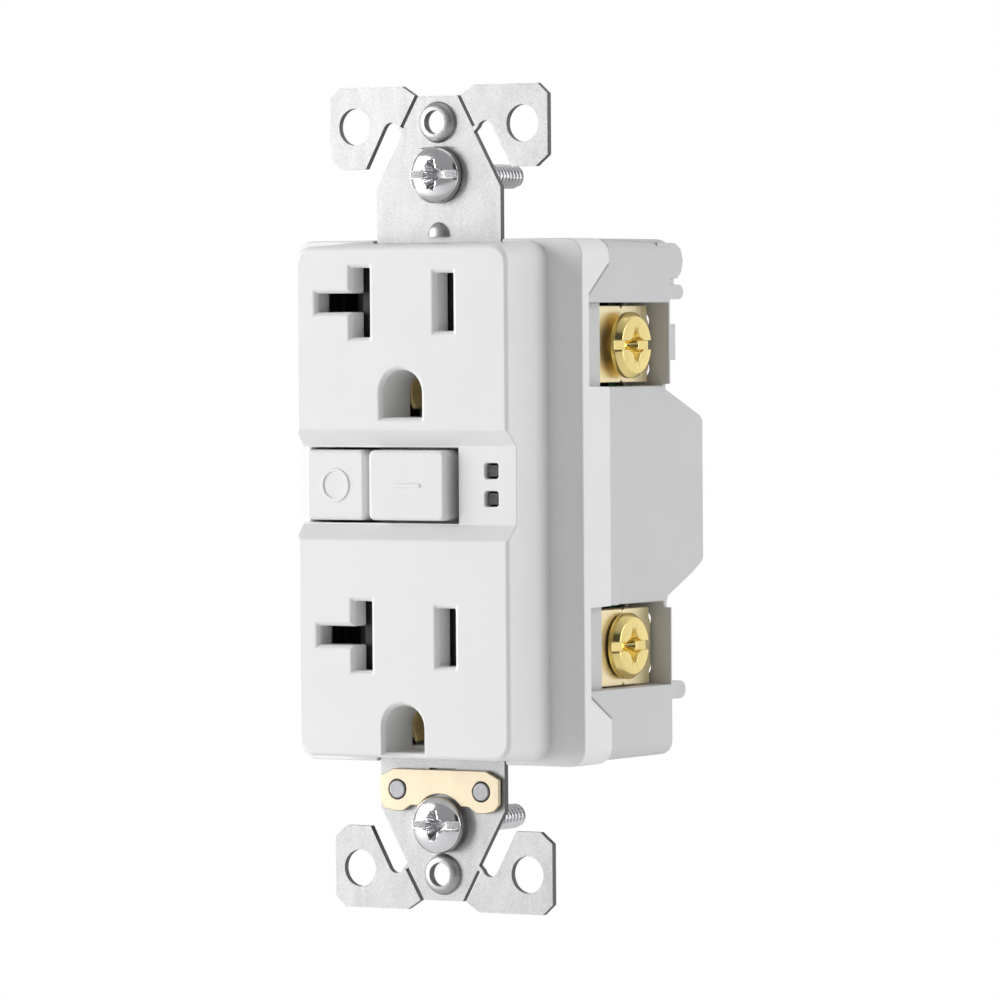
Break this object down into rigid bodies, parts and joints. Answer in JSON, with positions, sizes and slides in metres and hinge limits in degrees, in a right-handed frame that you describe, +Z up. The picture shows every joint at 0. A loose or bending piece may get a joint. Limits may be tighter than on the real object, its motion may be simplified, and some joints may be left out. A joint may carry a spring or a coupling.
{
  "type": "gfci outlet",
  "caption": "Duplex ground-fault receptacle: white face with two T-slot outlets, test and reset buttons, steel strap with break-off ears, side screw terminals.",
  "frame": {"origin": "centre of the mounting strap's rear face, the plane that seats on a wall box", "axes": "+X to the right of someone facing the outlet, +Y into the wall, +Z up"},
  "size_m": [0.0434, 0.04, 0.1062],
  "materials": {
    "cover_plastic": "smooth moulded white thermoplastic, semi-gloss",
    "housing_plastic": "moulded white thermoplastic, fine matte texture",
    "button_plastic": "smooth moulded white thermoplastic, semi-gloss",
    "black_plastic": "moulded black nylon",
    "zinc_steel": "zinc-plated sheet steel with a fine grain",
    "bright_steel": "bright plated steel",
    "brass": "plain brass, lightly brushed",
    "nickel": "nickel-plated brass",
    "green_steel": "green dyed plating on steel",
    "bronze": "phosphor bronze spring stock",
    "fibre": "pressed fibre",
    "board": "solder-masked glass laminate",
    "winding": "enamelled copper winding",
    "clear_plastic": "clear polycarbonate",
    "blue_epoxy": "dipped epoxy",
    "amber_film": "potting and film wrap"
  },
  "bodies": {
    "root": {"front_cover": "cover_plastic", "mounting_strap": "zinc_steel", "grounding_clip": "brass", "clip_rivet_right": "zinc_steel", "clip_rivet_left": "zinc_steel", "separator": "housing_plastic", "rear_housing": "housing_plastic", "circuit_board": "board", "sense_coils": "amber_film", "control_chip": "black_plastic", "filter_capacitor": "amber_film", "varistor": "blue_epoxy", "solenoid_coil": "winding", "solenoid_frame": "zinc_steel", "plunger_spring": "bright_steel", "hot_contact_strip": "bronze", "neutral_contact_strip": "bronze", "ground_contact_upper": "bronze", "ground_contact_lower": "bronze", "shutter_tray": "black_plastic", "shutter_spring_upper": "bright_steel", "shutter_spring_lower": "bright_steel", "test_spring": "bright_steel", "reset_spring": "bright_steel", "light_pipe_upper": "clear_plastic", "light_pipe_lower": "clear_plastic", "status_lamp_upper": "clear_plastic", "status_lamp_lower": "clear_plastic", "case_screw_upper_left": "zinc_steel", "case_screw_upper_right": "zinc_steel", "case_screw_lower_left": "zinc_steel", "case_screw_lower_right": "zinc_steel", "load_hot_terminal": "brass", "load_neutral_terminal": "nickel", "line_hot_terminal": "brass", "line_neutral_terminal": "nickel"},
    "test_body": {"test_button": "button_plastic"},
    "reset_body": {"reset_button": "button_plastic", "reset_pin": "bright_steel"},
    "shutter_upper_body": {"shutter_upper": "black_plastic"},
    "shutter_lower_body": {"shutter_lower": "black_plastic"},
    "plunger_body": {"solenoid_plunger": "bright_steel"},
    "latch_plate_body": {"latch_plate": "bright_steel"},
    "carriage_body": {"latch_block": "black_plastic", "hot_contact_arm": "bronze", "neutral_contact_arm": "bronze"},
    "ground_clamp_body": {"ground_clamp": "zinc_steel"},
    "ground_screw_body": {"ground_screw": "green_steel"},
    "load_hot_clamp_body": {"load_hot_clamp": "brass"},
    "load_hot_screw_body": {"load_hot_screw": "brass"},
    "load_neutral_clamp_body": {"load_neutral_clamp": "nickel"},
    "load_neutral_screw_body": {"load_neutral_screw": "nickel"},
    "line_hot_clamp_body": {"line_hot_clamp": "brass"},
    "line_hot_screw_body": {"line_hot_screw": "brass"},
    "line_neutral_clamp_body": {"line_neutral_clamp": "nickel"},
    "line_neutral_screw_body": {"line_neutral_screw": "nickel"},
    "washer_upper_body": {"retaining_washer_upper": "fibre"},
    "mounting_screw_upper_body": {"mounting_screw_upper": "bright_steel"},
    "washer_lower_body": {"retaining_washer_lower": "fibre"},
    "mounting_screw_lower_body": {"mounting_screw_lower": "bright_steel"}
  },
  "joints": [
    {"name": "test_press", "type": "slide", "parent": "root", "child": "test_body", "axis": [0, 1, 0], "range_m": [0, 0.0014], "stiffness_N_per_m": 250, "springref_m": -0.002, "deforming": ["test_spring"]},
    {"name": "reset_press", "type": "slide", "parent": "root", "child": "reset_body", "axis": [0, 1, 0], "range_m": [0, 0.0022], "stiffness_N_per_m": 400, "springref_m": -0.002, "deforming": ["reset_spring"]},
    {"name": "shutter_upper_slide", "type": "slide", "parent": "root", "child": "shutter_upper_body", "axis": [1, 0, 0], "range_m": [0, 0.0035], "stiffness_N_per_m": 120, "springref_m": -0.002, "deforming": ["shutter_spring_upper"]},
    {"name": "shutter_lower_slide", "type": "slide", "parent": "root", "child": "shutter_lower_body", "axis": [1, 0, 0], "range_m": [0, 0.0035], "stiffness_N_per_m": 120, "springref_m": -0.002, "deforming": ["shutter_spring_lower"]},
    {"name": "plunger_slide", "type": "slide", "parent": "root", "child": "plunger_body", "axis": [1, 0, 0], "range_m": [0, 0.0008], "stiffness_N_per_m": 200, "springref_m": -0.002, "deforming": ["plunger_spring"]},
    {"name": "latch_plate_slide", "type": "slide", "parent": "root", "child": "latch_plate_body", "axis": [1, 0, 0], "range_m": [0, 0.0008]},
    {"name": "contacts_close", "type": "slide", "parent": "root", "child": "carriage_body", "axis": [0, -1, 0], "range_m": [0, 0.0013]},
    {"name": "load_hot_clamp_slide", "type": "slide", "parent": "root", "child": "load_hot_clamp_body", "axis": [1, 0, 0], "range_m": [-0.00065, 0.001]},
    {"name": "load_hot_screw_turn", "type": "hinge", "parent": "load_hot_clamp_body", "child": "load_hot_screw_body", "pos_m": [0.0197, 0.0132, 0.0196], "axis": [1, 0, 0], "range_deg": [-296, 455]},
    {"name": "load_neutral_clamp_slide", "type": "slide", "parent": "root", "child": "load_neutral_clamp_body", "axis": [-1, 0, 0], "range_m": [-0.00065, 0.001]},
    {"name": "load_neutral_screw_turn", "type": "hinge", "parent": "load_neutral_clamp_body", "child": "load_neutral_screw_body", "pos_m": [-0.0197, 0.0132, 0.0196], "axis": [-1, 0, 0], "range_deg": [-296, 455]},
    {"name": "line_hot_clamp_slide", "type": "slide", "parent": "root", "child": "line_hot_clamp_body", "axis": [1, 0, 0], "range_m": [-0.00065, 0.001]},
    {"name": "line_hot_screw_turn", "type": "hinge", "parent": "line_hot_clamp_body", "child": "line_hot_screw_body", "pos_m": [0.01905, 0.0132, -0.0192], "axis": [1, 0, 0], "range_deg": [-296, 455]},
    {"name": "line_neutral_clamp_slide", "type": "slide", "parent": "root", "child": "line_neutral_clamp_body", "axis": [-1, 0, 0], "range_m": [-0.00065, 0.001]},
    {"name": "line_neutral_screw_turn", "type": "hinge", "parent": "line_neutral_clamp_body", "child": "line_neutral_screw_body", "pos_m": [-0.01905, 0.0132, -0.0192], "axis": [-1, 0, 0], "range_deg": [-296, 455]},
    {"name": "ground_clamp_slide", "type": "slide", "parent": "root", "child": "ground_clamp_body", "axis": [-1, 0, 0], "range_m": [0, 0.00125]},
    {"name": "ground_screw_turn", "type": "hinge", "parent": "ground_clamp_body", "child": "ground_screw_body", "pos_m": [-0.0107, 0.0086, -0.0379], "axis": [-1, 0, 0], "range_deg": [0, 568]},
    {"name": "mounting_screw_upper_slide", "type": "slide", "parent": "root", "child": "washer_upper_body", "axis": [0, -1, 0], "range_m": [0, 0.0028]},
    {"name": "mounting_screw_upper_turn", "type": "hinge", "parent": "washer_upper_body", "child": "mounting_screw_upper_body", "pos_m": [0, -0.0011, 0.04167], "axis": [0, -1, 0], "continuous": true},
    {"name": "mounting_screw_lower_slide", "type": "slide", "parent": "root", "child": "washer_lower_body", "axis": [0, -1, 0], "range_m": [-0.0005, 0.0028]},
    {"name": "mounting_screw_lower_turn", "type": "hinge", "parent": "washer_lower_body", "child": "mounting_screw_lower_body", "pos_m": [0, -0.0017, -0.042], "axis": [0, -1, 0], "continuous": true}
  ],
  "couplings": [
    {"joint": "latch_plate_slide", "follows": "plunger_slide", "ratio": 1},
    {"joint": "load_hot_screw_turn", "follows": "load_hot_clamp_slide", "rad_per_m": 7915.8},
    {"joint": "load_neutral_screw_turn", "follows": "load_neutral_clamp_slide", "rad_per_m": 7915.8},
    {"joint": "line_hot_screw_turn", "follows": "line_hot_clamp_slide", "rad_per_m": 7915.8},
    {"joint": "line_neutral_screw_turn", "follows": "line_neutral_clamp_slide", "rad_per_m": 7915.8},
    {"joint": "ground_screw_turn", "follows": "ground_clamp_slide", "rad_per_m": 7915.8}
  ]
}
